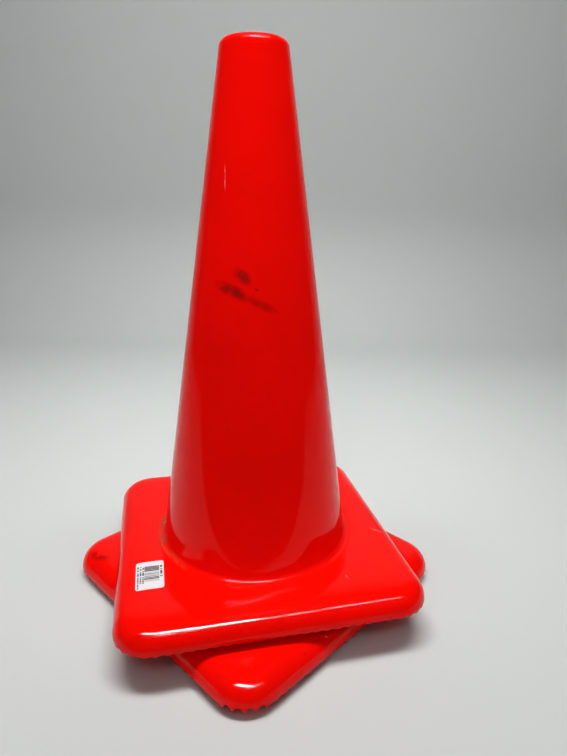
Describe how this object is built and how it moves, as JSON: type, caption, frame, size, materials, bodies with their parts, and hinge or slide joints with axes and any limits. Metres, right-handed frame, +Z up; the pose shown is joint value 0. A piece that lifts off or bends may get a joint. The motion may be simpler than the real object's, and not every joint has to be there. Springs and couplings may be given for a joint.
{
  "type": "nested marker cone",
  "caption": "Tall tapered PVC marker cone with a crowned square base and toothed rim, nested over a matching cone that it lifts off.",
  "frame": {"origin": "on the ground at the middle of the lower cone's base", "axes": "+Z up along both cones; X and Y along the sides of the lower cone's base"},
  "size_m": [0.3506, 0.3506, 0.4921],
  "materials": {
    "sleeve_pvc": "moulded flexible PVC, red-orange, lightly scuffed",
    "base_pvc": "moulded filled PVC, red-orange, glossy",
    "label_paper": "coated white paper with plain printed bars"
  },
  "bodies": {
    "lower_cone": {"lower_sleeve": "sleeve_pvc", "lower_base": "base_pvc"},
    "upper_cone": {"upper_sleeve": "sleeve_pvc", "upper_base": "base_pvc", "product_label": "label_paper"}
  },
  "joints": [
    {"name": "lift", "type": "slide", "parent": "lower_cone", "child": "upper_cone", "axis": [0, 0, 1], "range_m": [0, 0.45]}
  ]
}
